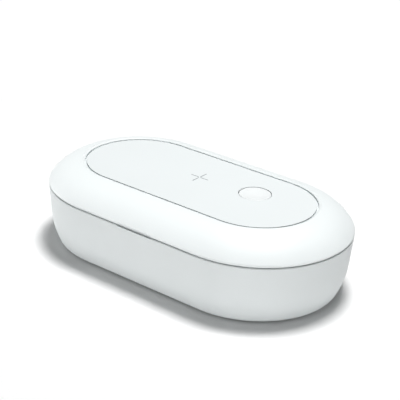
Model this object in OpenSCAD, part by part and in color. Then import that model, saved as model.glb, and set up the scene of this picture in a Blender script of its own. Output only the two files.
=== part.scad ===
// Ultraviolet sanitizer box for phones, with a charging top and one round button.
// Millimetres. The origin is on the ground under the middle of the box.
// +X runs along the box, -Y is the front with the finger notch, +Y is the hinge side, +Z is up.

/* [Body] */
// Length of the box over its round ends
box_len = 220; // [205:1:250]
// Width of the box at the seam
box_w = 126; // [122:1:140]
// Height of the seam between base and lid above the ground
seam_z = 42; // [40:0.5:56]
// Height of the lid's upper rim above the seam
rim_rise = 15.6; // [15:0.1:20]
// Open line between the base rim and the lid rim
seam_gap = 0.6; // [0.5:0.05:0.8]
// Small bevel along both edges of the seam
seam_bevel = 0.5; // [0.4:0.05:0.7]
// Wall of the two outer shells
shell_wall = 2.4; // [2:0.1:2.6]
// Lean of the base's side under the seam, in degrees
side_draft = 4.5; // [3:0.5:6]
// Depth below the seam at which the side starts to curve in
side_straight = 19.5; // [14:0.5:22]
// Radius of the arc that curves the side in
side_arc_r = 54; // [50:1:55]
// Radius of the round between the base's side and its underside
bottom_round = 5; // [4.5:0.5:6]
// Gap that the rubber feet leave under the base
foot_rise = 1; // [0.8:0.1:1.2]

/* [Lid] */
// Radius of the lid's side just above the seam
lid_edge_r = 3; // [3:0.1:4]
// Slope of the shoulder where it meets the upper rim, in degrees
rim_slope = 8.5; // [6:0.5:11]
// Distance from the seam's outline in to the upper rim
rim_margin = 22.2; // [21.8:0.1:23]
// Width of the bevel that leads down from the rim to the top panel
recess_w = 1.6; // [1.3:0.1:2]
// Depth of the top panel below the rim
recess_depth = 0.6; // [0.5:0.05:0.8]
// Open line round the top panel
panel_gap = 1.2; // [1:0.05:1.4]
// Thickness of the top panel
panel_t = 2.4; // [2:0.1:2.6]
// Small round along the top panel's edge
panel_round = 0.3; // [0.2:0.05:0.4]
// Depth of the open line round the top panel
panel_gap_depth = 1.2; // [1:0.05:1.4]
// Width of the ledge that carries the top panel
ledge_w = 3; // [2.5:0.1:4]
// Thickness of that ledge
ledge_t = 1.6; // [1.4:0.1:1.8]
// Length of the finger notch at the front
notch_len = 29; // [20:0.5:34]
// Depth of the notch in the base rim
notch_dip = 0.5; // [0.4:0.05:0.8]
// Radius of the finger scoop in the lid's lower edge
scoop_r = 5; // [4.5:0.1:5.5]
// How far the finger scoop cuts into the lid
scoop_bite = 1.2; // [1:0.1:1.5]

/* [Button and charging mark] */
// Diameter of the round button
button_d = 21; // [18:0.5:23]
// Place of the button along the box
button_x = 39.5; // [36:0.5:44]
// Place of the button across the box
button_y = 8.5; // [6:0.5:9]
// Running gap round the button
button_gap = 0.35; // [0.3:0.05:0.5]
// Depth of the dish in the button's face
button_dish = 1.1; // [0.6:0.1:1.4]
// Width of the lip round the dish
button_lip = 1.2; // [1:0.1:1.6]
// Round along the button's upper edge
button_round = 0.6; // [0.4:0.05:0.8]
// Width of the collar that keeps the button under the panel
collar_w = 1.2; // [1:0.1:1.4]
// Thickness of that collar
collar_t = 1.2; // [1:0.1:1.3]
// Travel of the button
button_travel = 0.6; // [0.4:0.05:0.7]
// Middle of the charging mark along the box
mark_x = -2.5; // [-6:0.5:2]
// Middle of the charging mark across the box
mark_y = 4.5; // [0:0.5:5]
// Reach of the mark's arms along the box
mark_len_x = 14; // [10:0.5:18]
// Reach of the mark's arms across the box
mark_len_y = 15; // [10:0.5:18]
// Width of the mark's strokes
mark_stroke = 0.9; // [0.6:0.1:1.4]
// Open spot where the mark's arms meet
mark_open = 1.2; // [0.6:0.1:2]
// Depth of the inlay that makes the mark
mark_depth = 0.4; // [0.3:0.05:0.6]

/* [Chamber] */
// Distance from the seam's outline in to the chamber's wall
chamber_inset = 9; // [8.6:0.1:9.6]
// Height of the chamber's floor above the ground
chamber_floor_z = 16; // [15.5:0.1:18]
// Wall of the chamber liner and of the lid liner
liner_wall = 1.6; // [1.5:0.1:1.8]
// Radius between the chamber's floor and its wall
chamber_round = 4; // [3:0.5:5]
// Height of the lid liner's face above the lid's rim
lid_liner_rise = 0.6; // [0.6:0.05:0.8]
// Open width between the lid liner's edge and the lid's wall
lid_liner_gap = 0.3; // [0.2:0.05:0.5]
// Thickness of the liner's flange
flange_t = 2; // [1.8:0.1:2.2]
// Width of the step in the base rim that carries the flange
flange_step = 0.8; // [0.6:0.1:0.9]
// Height of the two rails that carry the phone
rail_h = 3; // [2:0.5:4]
// Width of each rail at its foot
rail_w = 4; // [3:0.5:5]
// Width of each rail at its top
rail_top_w = 1.4; // [1:0.1:1.8]
// Length of each phone rail
rail_len = 64; // [50:1:70]
// Distance of each phone rail from the middle
rail_x = 50; // [40:1:56]
// Height that the seal stands out of the flange
seal_proud = 0.9; // [0.6:0.1:1]
// Width of the seal
seal_w = 1.8; // [1.4:0.1:2]

/* [Ultraviolet lamps] */
// Distance between neighbouring lamps
lamp_pitch = 50; // [46:1:52]
// Number of lamps in each row
lamp_count = 4; // [2:2:4]
// Radius of each lamp's clear window
window_r = 5; // [4.5:0.1:6]
// Width of the seat under each window's edge
window_seat = 1; // [0.8:0.1:1.2]
// Thickness of each window
window_t = 1; // [0.8:0.05:1.2]
// Side of a lamp chip
lamp_w = 3.5; // [3:0.1:4]
// Height of a lamp chip
lamp_h = 1.2; // [1:0.1:1.4]
// Air between a lamp chip and the liner in front of it
lamp_air = 0.5; // [0.4:0.05:0.6]

/* [Boards] */
// Thickness of every circuit board
board_t = 1.2; // [1:0.1:1.4]
// Length of the two lamp boards
lamp_board_len = 170; // [160:1:176]
// Width of the two lamp boards
lamp_board_w = 14; // [11:0.5:15]
// Length of the main board along the box
main_len = 60; // [54:1:66]
// Width of the main board
main_w = 29; // [26:0.5:32]
// Distance of the main board's rear edge from the seam's outline
main_setback = 12; // [11.5:0.5:14]
// Length of the charger board along the box
charger_len = 44; // [36:1:46]
// Width of the charger board
charger_w = 36; // [34:1:36]
// How far the charger board's middle lies out past the straight stretch of the box
charger_out = 9; // [7:0.5:11]
// Length of the switch board along the box
button_board_len = 14; // [12:0.5:14]
// Width of the switch board
button_board_w = 34; // [32:0.5:36]
// Distance of the board screws from the board's edges
screw_inset = 3; // [2.8:0.1:3.2]
// Height of the posts under the main board
main_post_h = 2; // [1.6:0.1:2.4]

/* [Charging coil] */
// Outer radius of the coil
coil_r = 21; // [18:0.5:23]
// Inner radius of the coil
coil_bore_r = 10; // [7:0.5:12]
// Thickness of the coil
coil_t = 1.6; // [1.2:0.1:1.8]
// Thickness of the ferrite sheet under the coil
ferrite_t = 1; // [0.6:0.1:1.2]
// How far the ferrite sheet reaches past the coil
ferrite_margin = 2; // [1:0.5:3]

/* [Hinge] */
// Outer radius of the hinge knuckles
knuckle_r = 2.5; // [2.3:0.05:2.6]
// Distance of the hinge axis inside the seam's outline
hinge_inset = 0.4; // [0.35:0.05:0.5]
// Half-length of the lid's middle knuckle
lid_knuckle_half = 16; // [12:0.5:18]
// Length of each base knuckle
base_knuckle_len = 19.7; // [16:0.1:21]
// Open line between neighbouring knuckles
knuckle_gap = 0.3; // [0.2:0.05:0.4]
// Clearance round the knuckles in the shell they turn in
knuckle_clear = 0.4; // [0.35:0.05:0.5]
// Radius of the two hinge pins
pin_r = 1.1; // [1:0.05:1.3]
// Length of each pin inside the lid's knuckle
pin_hold = 8; // [6:0.5:8]
// Bore through each hinge pin for the cable
pin_bore_r = 0.7; // [0.65:0.05:0.75]
// Running clearance between pin and lid knuckle
pin_run = 0.05; // [0.02:0.01:0.08]

/* [Fasteners and feet] */
// Radius of the case screws' shanks
screw_r = 1.3; // [1.2:0.05:1.5]
// Radius of the case screws' heads
screw_head_r = 2.6; // [2.4:0.1:2.8]
// Height of the case screws' heads
screw_head_h = 1.2; // [1:0.1:1.2]
// Length of the base screws under their heads
base_screw_len = 9; // [7:0.5:10]
// Length of the lid screws under their heads
lid_screw_len = 5.5; // [4.5:0.5:6]
// Radius of the board screws' shanks
tiny_r = 0.9; // [0.8:0.05:1]
// Radius of the board screws' heads
tiny_head_r = 1.7; // [1.5:0.1:1.8]
// Height of the board screws' heads
tiny_head_h = 1; // [0.8:0.1:1.2]
// Length of the board screws under their heads
tiny_len = 3; // [2.6:0.1:3]
// Wall of the bosses round the case screws
boss_wall = 2.2; // [1.8:0.1:2.4]
// Wall of the posts round the board screws
post_wall = 1.6; // [1.2:0.1:1.8]
// Distance of each foot from the middle along the box
foot_x = 62; // [56:0.5:66]
// Distance of each foot from the middle across the box
foot_y = 34; // [30:0.5:36]
// Radius of a rubber foot
foot_r = 6; // [5:0.5:7]
// Depth of the pocket that holds a foot
foot_pocket = 0.8; // [0.6:0.1:1]

/* [Hidden] */

$fn = 72;
arc_fn = 360;      // for the long arcs of the shells
cut = 1;           // how far cutting shapes run past what they cut
fit = 0.2;         // assembly clearance round pieces that are set in place
lap = 0.002;       // growth of a round past its neighbour, so that they cross and not just touch
lap_reach = 1;     // how far that round runs past the place where they blend
sink = 0.2;        // how far a boss or post is sunk into the wall that carries it

half_w = box_w / 2;
straight = (box_len - box_w) / 2;
top_z = seam_z + rim_rise;
base_rim_z = seam_z - seam_gap / 2;
lid_rim_z = seam_z + seam_gap / 2;
floor_z = foot_rise + shell_wall;

// Base side: a straight drafted stretch, the arc that curves it in, and the round under it
side_n = [cos(side_draft), -sin(side_draft)];
side_turn = [half_w - side_straight * tan(side_draft), seam_z - side_straight];
side_c = side_turn - side_arc_r * side_n;
round_z = foot_rise + bottom_round;
round_c = [side_c.x + sqrt(pow(side_arc_r - bottom_round, 2) - pow(side_c.y - round_z, 2)), round_z];
side_end = asin((round_z - side_c.y) / (side_arc_r - bottom_round));

// Lid shoulder: a crown arc from the rim, tangent to the small edge arc above the seam
rim_r = half_w - rim_margin;
rim_n = [sin(rim_slope), cos(rim_slope)];
edge_c = [half_w - lid_edge_r, lid_rim_z];
rim_from_edge = [rim_r, top_z] - edge_c;
crown_r = (rim_from_edge * rim_from_edge - pow(lid_edge_r, 2)) / (2 * (rim_from_edge * rim_n - lid_edge_r));
crown_c = [rim_r, top_z] - crown_r * rim_n;
crown_dir = (edge_c - crown_c) / norm(edge_c - crown_c);

// Top panel and what lies under it
pocket_r = rim_r - recess_w;
panel_r = pocket_r - panel_gap;
panel_top_z = top_z - recess_depth;
panel_z = panel_top_z - panel_t;
ledge_z = panel_z - ledge_t;

// Chamber liner
chamber_r = half_w - chamber_inset;
liner_r = chamber_r + liner_wall;
liner_z = chamber_floor_z - liner_wall;
flange_z = base_rim_z - flange_t;
step_r = half_w - shell_wall + flange_step;
flange_r = step_r - fit;
seal_groove = flange_t / 2;

// Lid liner
lid_liner_z = lid_rim_z + lid_liner_rise;
lid_liner_top = lid_liner_z + liner_wall;
function lid_wall_r(z) = crown_c.x + sqrt(pow(crown_r - shell_wall, 2) - pow(z - crown_c.y, 2));
lid_liner_r = lid_wall_r(lid_liner_top) - lid_liner_gap;
seal_r = (liner_r + lid_liner_r) / 2;

// Lamps, boards and their posts
window_hole_r = window_r + fit;
lamp_hole_r = window_r - window_seat;
lower_board_z = liner_z - lamp_air - lamp_h - board_t;
upper_board_z = lid_liner_top + lamp_air + lamp_h;
lamp_posts = [-lamp_pitch, 0, lamp_pitch];
post_r = tiny_r + post_wall;
board_gap = 0.3;
function corners(middle, len, w) = [for (x = [-1, 1], y = [-1, 1])
    middle + [x * (len / 2 - screw_inset), y * (w / 2 - screw_inset)]];
main_z = floor_z + main_post_h;
main_y = half_w - main_setback - main_w / 2;
main_screws = corners([0, main_y], main_len, main_w);
charger_x = -straight - charger_out;
charger_z = upper_board_z + board_t + tiny_head_h + board_gap;
charger_screws = corners([charger_x, 0], charger_len, charger_w);
button_board_z = upper_board_z + board_t + board_gap;
button_screws = corners([button_x, 0], button_board_len, button_board_w);

// Button and its switch
button_r = button_d / 2;
button_hole_r = button_r + button_gap;
collar_r = button_hole_r + collar_w;
collar_z = panel_z - fit - collar_t;
button_foot_r = 2.2;
dish_r = button_r - button_lip;
dish_ball = (pow(dish_r, 2) + pow(button_dish, 2)) / (2 * button_dish);
switch_w = 6;
switch_h = 2;
switch_z = button_board_z + board_t;
switch_floor = 0.4;
plunger_r = 1.5;
plunger_run = 0.05;
plunger_grip = 0.6;
plunger_rise = button_travel + fit;
plunger_z = switch_z + switch_h + plunger_rise;

// Hinge
hinge_y = half_w - hinge_inset;
base_knuckle_x = lid_knuckle_half + knuckle_gap;
hinge_half = base_knuckle_x + base_knuckle_len;
knuckle_end = 1;
cable_turn = 3;
pin_x0 = lid_knuckle_half - pin_hold;
pin_pocket_x = hinge_half - knuckle_end;
pin_x1 = pin_pocket_x - cable_turn;
relief_r = knuckle_r + knuckle_clear;
cable_r = 0.6;
cable_hole_r = cable_r + 0.3;
cable_x = pin_x1 + cable_turn / 2;
hinge_block_h = 9;
hinge_block_y0 = liner_r + 1.8;
hinge_block_y1 = half_w - shell_wall / 2 - 0.6;
hinge_bar = [5.2, 4.5];

// Charging socket
socket_w = 8.94;
socket_h = 3.2;
socket_len = 7.4;
socket_wall = 0.3;
socket_clear = 0.3;
socket_setback = 0.4;
tongue = [6.6, 5.4, 0.7];
socket_z = main_z + board_t + socket_h / 2;
socket_y1 = side_c.x + sqrt(pow(side_arc_r, 2) - pow(side_c.y - socket_z, 2)) - socket_setback;

// Screw places
feet = [for (x = [-1, 1], y = [-1, 1]) [x * foot_x, y * foot_y]];
boss_r = screw_r + boss_wall;
foot_ring_r = screw_head_r + boss_wall;
foot_ring_h = 2;
foot_bevel = 0.5;
lid_screw_r = half_w - 15;
lid_screw_x = straight - 17;
lid_bore_top = lid_liner_z + screw_head_h + lid_screw_len + 0.4;
lid_screws_at = concat([for (x = [-1, 1], y = [-1, 1]) [x * lid_screw_x, y * lid_screw_r]],
                       [for (x = [-1, 1]) [x * (straight + lid_screw_r), 0]]);
magnet = [12, 3.6, 2.4];
magnet_x = 22;
base_magnet_y = -(liner_r + 3 * fit + magnet.y / 2);
lid_magnet_y = -(lid_wall_r(lid_liner_top + magnet.z) - fit - magnet.y / 2);
sensor = [8, 2.8, 1.6];

// Pieces on the boards: length, width and height, and their corners or middles from the board's middle
chip = [7, 7, 1];
choke = [6, 6, 3];
plug = [6, 4, 2.4];
resistor = [2.4, 1.6, 0.8];
capacitor_r = 2;
capacitor_h = 4.5;
main_chip_at = [-5, -8.5];
choke_at = [8, -9.5];
capacitors_at = [[10, 2.5], [15.5, 2.5]];
main_plug_at = [-25, 3.5];
charger_chip_at = [-12, -6];
resistors_at = [[-9, 6], [-4, 6]];
charger_plug_at = [8, 13.5];

white = [0.95, 0.97, 0.97];
panel_white = [0.94, 0.96, 0.97];
grey = [0.62, 0.64, 0.65];
board_green = [0.12, 0.38, 0.24];
steel = [0.76, 0.77, 0.79];
dark = [0.14, 0.14, 0.15];

// ---- shapes that the pieces share ----

// Solid of revolution stretched along the box: half turns at both ends, straight between them
module stretched() {
    for (s = [-1, 1]) translate([s * straight, 0, 0]) rotate([0, 0, -s * 90])
        rotate_extrude(angle = 180) children();
    rotate([90, 0, 90]) translate([0, 0, -straight]) linear_extrude(2 * straight) {
        children();
        mirror([1, 0]) children();
    }
}

// Plate with round ends, its edge at radius r from the middle line
module plate(r, z, t) {
    translate([0, 0, z]) stretched() square([r, t]);
}

// Round of radius r about c, kept between the heights y0 and y1 and outside c
module round_piece(c, r, y0, y1) {
    intersection() {
        translate(c) circle(r, $fn = arc_fn);
        translate([c.x, y0]) square([r + cut, y1 - y0]);
    }
}

// Half section of the base, moved in by inset from the outer face
module base_section(inset, top) {
    arc_r = side_arc_r - inset;
    low = foot_rise + inset;
    upper = side_turn - inset * side_n;
    turn = side_c + arc_r * [cos(side_end), sin(side_end)];
    polygon([[0, upper.y], upper, [upper.x + (top - upper.y) * tan(side_draft), top], [0, top]]);
    translate([0, turn.y]) square([side_c.x, upper.y + lap_reach - turn.y]);
    round_piece(side_c, arc_r + lap, turn.y, upper.y + lap_reach);
    round_piece(round_c, bottom_round - inset + 2 * lap, low, turn.y + lap_reach);
    translate([0, low]) square([round_c.x, turn.y + lap_reach - low]);
}

// Half section of the lid, moved in by inset: the crown arc from x0 out, and a flat of the given height
module lid_section(inset, flat_z, x0) {
    turn = edge_c + (lid_edge_r - inset) * crown_dir;
    intersection() {
        translate(crown_c) circle(crown_r - inset, $fn = arc_fn);
        translate([x0, lid_rim_z]) square([turn.x - x0, rim_rise + cut]);
    }
    round_piece(edge_c, lid_edge_r - inset + lap, lid_rim_z, edge_c.y + lid_edge_r);
    translate([0, lid_rim_z]) square([x0, flat_z - lid_rim_z]);
}

// Corner cut for the bevels of the seam: up = 1 under the lid, -1 on the base
module seam_bevel_cut(z, up) {
    polygon([[half_w - seam_bevel, z], [half_w + cut, z], [half_w + cut, z + up * (seam_bevel + cut)]]);
}

// Slot outline with round ends
module slot(w, h) {
    square([w - h, h], center = true);
    for (s = [-1, 1]) translate([s * (w - h) / 2, 0]) circle(h / 2);
}

// Cylinder along X between two places on the hinge axis
module on_hinge(x0, x1, r) {
    translate([x0, hinge_y, seam_z]) rotate([0, 90, 0]) cylinder(r = r, h = x1 - x0);
}

// Straight round rod from p to q
module rod(p, q, r) {
    v = q - p;
    translate(p) rotate([0, acos(v.z / norm(v)), atan2(v.y, v.x)]) cylinder(r = r, h = norm(v));
}

// Screw that points up from z, with a cross recess in its head
module screw(r, head_r, head_h, length) {
    difference() {
        cylinder(r = head_r, h = head_h);
        for (a = [0, 90]) rotate([0, 0, a]) cube([head_r * 1.1, head_r * 0.28, head_h], center = true);
    }
    translate([0, 0, head_h]) cylinder(r = r, h = length);
}

// Soft cable swept along its route, with rings that don't twist
cable_sides = 8;
function unit(v) = v / norm(v);
function leaving(p) = [for (i = [0:len(p) - 1])
    i == 0 ? unit(p[1] - p[0]) : i == len(p) - 1 ? unit(p[i] - p[i - 1])
    : unit(unit(p[i] - p[i - 1]) + unit(p[i + 1] - p[i]))];
function carried(t, i, u) = i == len(t) ? []
    : let (w = unit(u - (u * t[i]) * t[i])) concat([w], carried(t, i + 1, w));
module cable(p, r) {
    t = leaving(p);
    u = carried(t, 0, [0.1, 0.2, 1]);
    n = cable_sides;
    rings = [for (i = [0:len(p) - 1], k = [0:n - 1])
        p[i] + r * (cos(360 * k / n) * u[i] + sin(360 * k / n) * cross(t[i], u[i]))];
    sides = [for (i = [0:len(p) - 2], k = [0:n - 1], h = [0, 1])
        let (a = i * n + k, b = i * n + (k + 1) % n)
        h == 0 ? [a, a + n, b] : [b, a + n, b + n]];
    ends = [[for (k = [0:n - 1]) k], [for (k = [n - 1:-1:0]) (len(p) - 1) * n + k]];
    polyhedron(rings, concat(sides, ends), convexity = 6);
}

// Round posts at the given places, from z0 up to z1 and sunk into what lies under z0
module posts(at, r, z0, z1) {
    for (p = at) translate([p.x, p.y, z0 - sink]) cylinder(r = r, h = z1 - z0 + sink);
}

module lamp_row(z) {
    for (i = [0:lamp_count - 1]) translate([(i - (lamp_count - 1) / 2) * lamp_pitch, 0, z]) children();
}

// ---- base ----

// Route of the cable from the main board, up the rear wall and along the hinge axis
cable_port = [-cable_x, hinge_y - 3.6, seam_z - 12];
plug_z = board_t + plug.z / 2;
plug_exit = [main_plug_at.x + plug.x / 2, main_y + main_plug_at.y + plug.y, main_z + plug_z];
base_route = [plug_exit, plug_exit + [0, 2, 0],
              [plug_exit.x - 4, plug_exit.y + 4.5, main_z + 3], [-cable_x + 1, half_w - 10, 12],
              [-cable_x, liner_r + 1.1, 17], cable_port, [-cable_x, hinge_y - 0.7, seam_z - 2.2],
              [-cable_x + 0.7, hinge_y, seam_z], [-pin_x1 + 1, hinge_y, seam_z], [-7, hinge_y, seam_z]];

module base_shell() color(white) {
    difference() {
        union() {
            difference() {
                stretched() difference() {
                    base_section(0, base_rim_z);
                    seam_bevel_cut(base_rim_z, -1);
                }
                stretched() base_section(shell_wall, base_rim_z + cut);
                plate(step_r, flange_z, flange_t + cut);
            }
            base_hinge_block();
            for (s = [0, 1]) mirror([s, 0, 0]) on_hinge(base_knuckle_x, hinge_half, knuckle_r);
            posts(feet, foot_ring_r, floor_z, floor_z + foot_ring_h);
            posts(main_screws, post_r, floor_z, main_z);
        }
        on_hinge(-base_knuckle_x, base_knuckle_x, relief_r);
        for (s = [0, 1]) mirror([s, 0, 0]) on_hinge(lid_knuckle_half, pin_pocket_x, pin_r);
        rod([-cable_x, hinge_y, seam_z], cable_port, cable_hole_r);
        rod(cable_port, cable_port - [0, 1.5, 6], cable_hole_r);
        for (p = feet) translate([p.x, p.y, 0]) {
            cylinder(r = foot_r + fit, h = foot_rise + foot_pocket);
            cylinder(r = screw_head_r + fit, h = foot_rise + foot_pocket + screw_head_h);
            cylinder(r = screw_r + fit, h = floor_z + foot_ring_h + cut);
        }
        for (p = main_screws) translate([p.x, p.y, floor_z - 2 * sink]) cylinder(r = tiny_r, h = main_z);
        translate([0, socket_y1 - 2 * shell_wall, socket_z]) rotate([-90, 0, 0])
            linear_extrude(4 * shell_wall) slot(socket_w + 2 * socket_clear, socket_h + 2 * socket_clear);
        notch_cut();
    }
}

// Block that stiffens the rear wall behind the knuckles
module base_hinge_block() {
    translate([-hinge_half, hinge_block_y0, flange_z - fit - hinge_block_h])
        cube([2 * hinge_half, hinge_block_y1 - hinge_block_y0, hinge_block_h]);
}

// Notch in the base rim, with sloped ends
module notch_cut() {
    low = base_rim_z - notch_dip;
    half = notch_len / 2;
    translate([0, step_r * -1, 0]) rotate([90, 0, 0]) linear_extrude(half_w)
        polygon([[-half + notch_dip, low], [half - notch_dip, low],
                 [half + cut, base_rim_z + cut], [-half - cut, base_rim_z + cut]]);
}

module chamber_liner() color(white) {
    difference() {
        union() {
            translate([0, 0, liner_z]) stretched()
                rounded_wall(liner_r, flange_z - liner_z + sink, chamber_round + liner_wall);
            plate(flange_r, flange_z, flange_t);
            for (p = feet) translate([p.x, p.y, floor_z + foot_ring_h])
                cylinder(r = boss_r, h = liner_z - floor_z - foot_ring_h + sink);
            for (x = lamp_posts) translate([x, 0, lower_board_z + board_t])
                cylinder(r = post_r, h = liner_z - lower_board_z - board_t + sink);
        }
        translate([0, 0, chamber_floor_z]) stretched()
            rounded_wall(chamber_r, base_rim_z - chamber_floor_z + cut, chamber_round);
        translate([0, 0, base_rim_z - seal_groove]) stretched()
            translate([seal_r - seal_w / 2, 0]) square([seal_w, seal_groove + cut]);
        on_hinge(-hinge_half - knuckle_clear, hinge_half + knuckle_clear, relief_r);
        for (p = feet) translate([p.x, p.y, floor_z]) cylinder(r = screw_r, h = liner_z - floor_z);
        for (x = lamp_posts) translate([x, 0, lower_board_z])
            cylinder(r = tiny_r, h = liner_z + liner_wall / 2 - lower_board_z);
        lamp_row(liner_z - cut) cylinder(r = lamp_hole_r, h = liner_wall + 2 * cut);
        lamp_row(chamber_floor_z - window_t) cylinder(r = window_hole_r, h = window_t + cut);
    }
}

// Half section of a tub with a round between its floor and its wall
module rounded_wall(r, h, e) {
    square([r - e, h]);
    translate([r - e, e]) square([e, h - e]);
    translate([r - e, 0]) intersection() {
        translate([0, e]) circle(e);
        square([e, e]);
    }
}

// Half section of a disc with a round of radius e along its upper edge
module rounded_disc(r, h, e) {
    square([r - e, h]);
    translate([r - e, 0]) square([e, h - e]);
    translate([r - e, h - e]) intersection() {
        circle(e);
        square(e);
    }
}

module rim_seal() color([0.85, 0.87, 0.88])
    translate([0, 0, base_rim_z - seal_groove]) stretched()
        translate([seal_r - (seal_w - fit) / 2, 0]) square([seal_w - fit, seal_groove + seal_proud]);

module phone_rails() color([0.88, 0.93, 0.95])
    for (s = [-1, 1]) translate([s * rail_x, rail_len / 2, chamber_floor_z]) rotate([90, 0, 0])
        linear_extrude(rail_len) {
            polygon([[-rail_w / 2, 0], [rail_w / 2, 0], [rail_top_w / 2, rail_h - rail_top_w / 2],
                     [-rail_top_w / 2, rail_h - rail_top_w / 2]]);
            translate([0, rail_h - rail_top_w / 2]) circle(rail_top_w / 2, $fn = 24);
        }

module lower_windows() color([0.75, 0.85, 0.95])
    lamp_row(chamber_floor_z - window_t) cylinder(r = window_r, h = window_t);

// Circuit board about a middle, with its screw holes
module board(middle, len, w, z, holes) {
    color(board_green) difference() {
        translate([middle.x - len / 2, middle.y - w / 2, z]) cube([len, w, board_t]);
        for (p = holes) translate([p.x, p.y, z - cut]) cylinder(r = tiny_r, h = board_t + 2 * cut);
    }
}

module lower_lamp_board()
    board([0, 0], lamp_board_len, lamp_board_w, lower_board_z, [for (x = lamp_posts) [x, 0]]);

module lower_lamps() color([0.93, 0.9, 0.7])
    lamp_row(lower_board_z + board_t) lamp_chip();

// Lamp chip with the round emitter on its face
module lamp_chip() {
    translate([-lamp_w / 2, -lamp_w / 2, 0]) cube([lamp_w, lamp_w, lamp_h * 0.7]);
    cylinder(r = lamp_w * 0.36, h = lamp_h);
}

module main_board()
    board([0, main_y], main_len, main_w, main_z, main_screws);

// Controller, choke, two capacitors and the cable's plug on the main board
module main_board_parts() color(dark) translate([0, main_y, main_z + board_t]) {
    translate(main_chip_at) cube(chip);
    translate(choke_at) cube(choke);
    for (p = capacitors_at) translate(p) cylinder(r = capacitor_r, h = capacitor_h);
    translate(main_plug_at) cube(plug);
}

module usb_c_socket() color(steel)
    translate([0, socket_y1, socket_z]) rotate([90, 0, 0]) difference() {
        linear_extrude(socket_len) slot(socket_w, socket_h);
        translate([0, 0, -cut]) linear_extrude(socket_len - 1 + cut)
            slot(socket_w - 2 * socket_wall, socket_h - 2 * socket_wall);
    }

module usb_c_tongue() color(dark)
    translate([-tongue.x / 2, socket_y1 - socket_len + 1, socket_z - tongue.z / 2]) cube(tongue);

module lid_sensor() color(dark)
    translate([-sensor.x / 2, base_magnet_y - sensor.y / 2, flange_z - sensor.z]) cube(sensor);

module magnet_pair(y, z) {
    for (s = [-1, 1]) translate([s * magnet_x - magnet.x / 2, y - magnet.y / 2, z]) cube(magnet);
}

module base_magnets() color(steel) magnet_pair(base_magnet_y, flange_z - magnet.z);

module hinge_pins() color(steel)
    for (s = [0, 1]) mirror([s, 0, 0]) difference() {
        on_hinge(pin_x0, pin_x1, pin_r);
        on_hinge(pin_x0 - cut, pin_x1 + cut, pin_bore_r);
    }

module base_cable() color(dark) cable(base_route, cable_r);

module base_screws() color(steel)
    for (p = feet) translate([p.x, p.y, foot_rise + foot_pocket])
        screw(screw_r, screw_head_r, screw_head_h, base_screw_len);

// Board screw with its head on the height z, pointing down for up = 0 and up for up = 1
module board_screw(p, z, up) {
    translate([p.x, p.y, z]) mirror([0, 0, 1 - up]) translate([0, 0, -tiny_head_h])
        screw(tiny_r, tiny_head_r, tiny_head_h, tiny_len);
}

module base_board_screws() color(steel) {
    for (p = main_screws) board_screw(p, main_z + board_t, 0);
    for (x = lamp_posts) board_screw([x, 0], lower_board_z, 1);
}

module rubber_feet() color(dark)
    for (p = feet) translate([p.x, p.y, 0]) rotate_extrude()
        polygon([[0, 0], [foot_r - foot_bevel, 0], [foot_r, foot_bevel],
                 [foot_r, foot_rise + foot_pocket], [0, foot_rise + foot_pocket]]);

// ---- lid ----

lid_bend = [-5, hinge_y, seam_z];
lid_port = [-4.4, hinge_y - 6.1, seam_z + 4.1];
lid_route = [[-6.8, hinge_y, seam_z], lid_bend, lid_port, [-15, 46, charger_z], [-35, 28, charger_z + plug_z],
             [-43, 21, charger_z + plug_z], [-45, 19, charger_z + plug_z],
             [-45, 17.5, charger_z + plug_z]];

module lid_shell() color(white) {
    difference() {
        union() {
            difference() {
                stretched() difference() {
                    lid_section(0, panel_top_z, pocket_r);
                    seam_bevel_cut(lid_rim_z, 1);
                }
                stretched() lid_section(shell_wall, ledge_z, rim_r);
                plate(panel_r - ledge_w, ledge_z - cut, ledge_t + 2 * cut);
                stretched() recess();
            }
            intersection() {
                stretched() lid_section(shell_wall / 2, ledge_z, rim_r);
                union() {
                    posts(lid_screws_at, boss_r, lid_liner_top + sink, top_z);
                    translate([-hinge_half, hinge_y - hinge_bar.x, lid_liner_top + sink])
                        cube([2 * hinge_half, hinge_bar.x, hinge_bar.y]);
                }
            }
            on_hinge(-lid_knuckle_half, lid_knuckle_half, knuckle_r);
        }
        for (s = [0, 1]) mirror([s, 0, 0])
            on_hinge(lid_knuckle_half, hinge_half + knuckle_clear, relief_r);
        on_hinge(-lid_knuckle_half - cut, lid_knuckle_half + cut, pin_r + pin_run);
        rod(lid_bend, lid_port, cable_hole_r);
        for (p = lid_screws_at) translate([p.x, p.y, lid_rim_z])
            cylinder(r = screw_r, h = lid_bore_top - lid_rim_z);
        scoop();
    }
}

// Half section of the pocket for the top panel and the bevel that leads down to it
module recess() {
    fall = recess_depth / recess_w;
    polygon([[0, panel_z], [pocket_r, panel_z], [pocket_r, panel_top_z],
             [rim_r + recess_w, top_z + recess_w * fall], [0, top_z + recess_w * fall]]);
}

// Finger scoop under the lid's front edge, fading out at both ends
module scoop() {
    half = notch_len / 2 - scoop_r / 2;
    translate([0, scoop_bite - half_w - scoop_r, seam_z - scoop_bite]) {
        rotate([0, 90, 0]) cylinder(r = scoop_r, h = 2 * half, center = true);
        for (s = [-1, 1]) translate([s * half, 0, 0]) sphere(scoop_r);
    }
}

module top_panel() color(panel_white) difference() {
    union() {
        translate([0, 0, panel_z]) stretched() rounded_disc(panel_r, panel_t, panel_round);
        plate(pocket_r - fit, panel_z, panel_t - panel_gap_depth);
    }
    translate([button_x, button_y, panel_z - cut]) cylinder(r = button_hole_r, h = panel_t + 2 * cut);
    mark(mark_depth + cut);
}

// Four strokes of the charging mark, sunk into the panel's face
module mark(h) {
    translate([mark_x, mark_y, panel_top_z - mark_depth]) for (a = [0:3]) rotate([0, 0, 90 * a]) {
        reach = (a % 2 == 0 ? mark_len_x : mark_len_y) / 2;
        translate([mark_open / 2, -mark_stroke / 2, 0]) cube([reach - mark_open / 2, mark_stroke, h]);
    }
}

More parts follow.
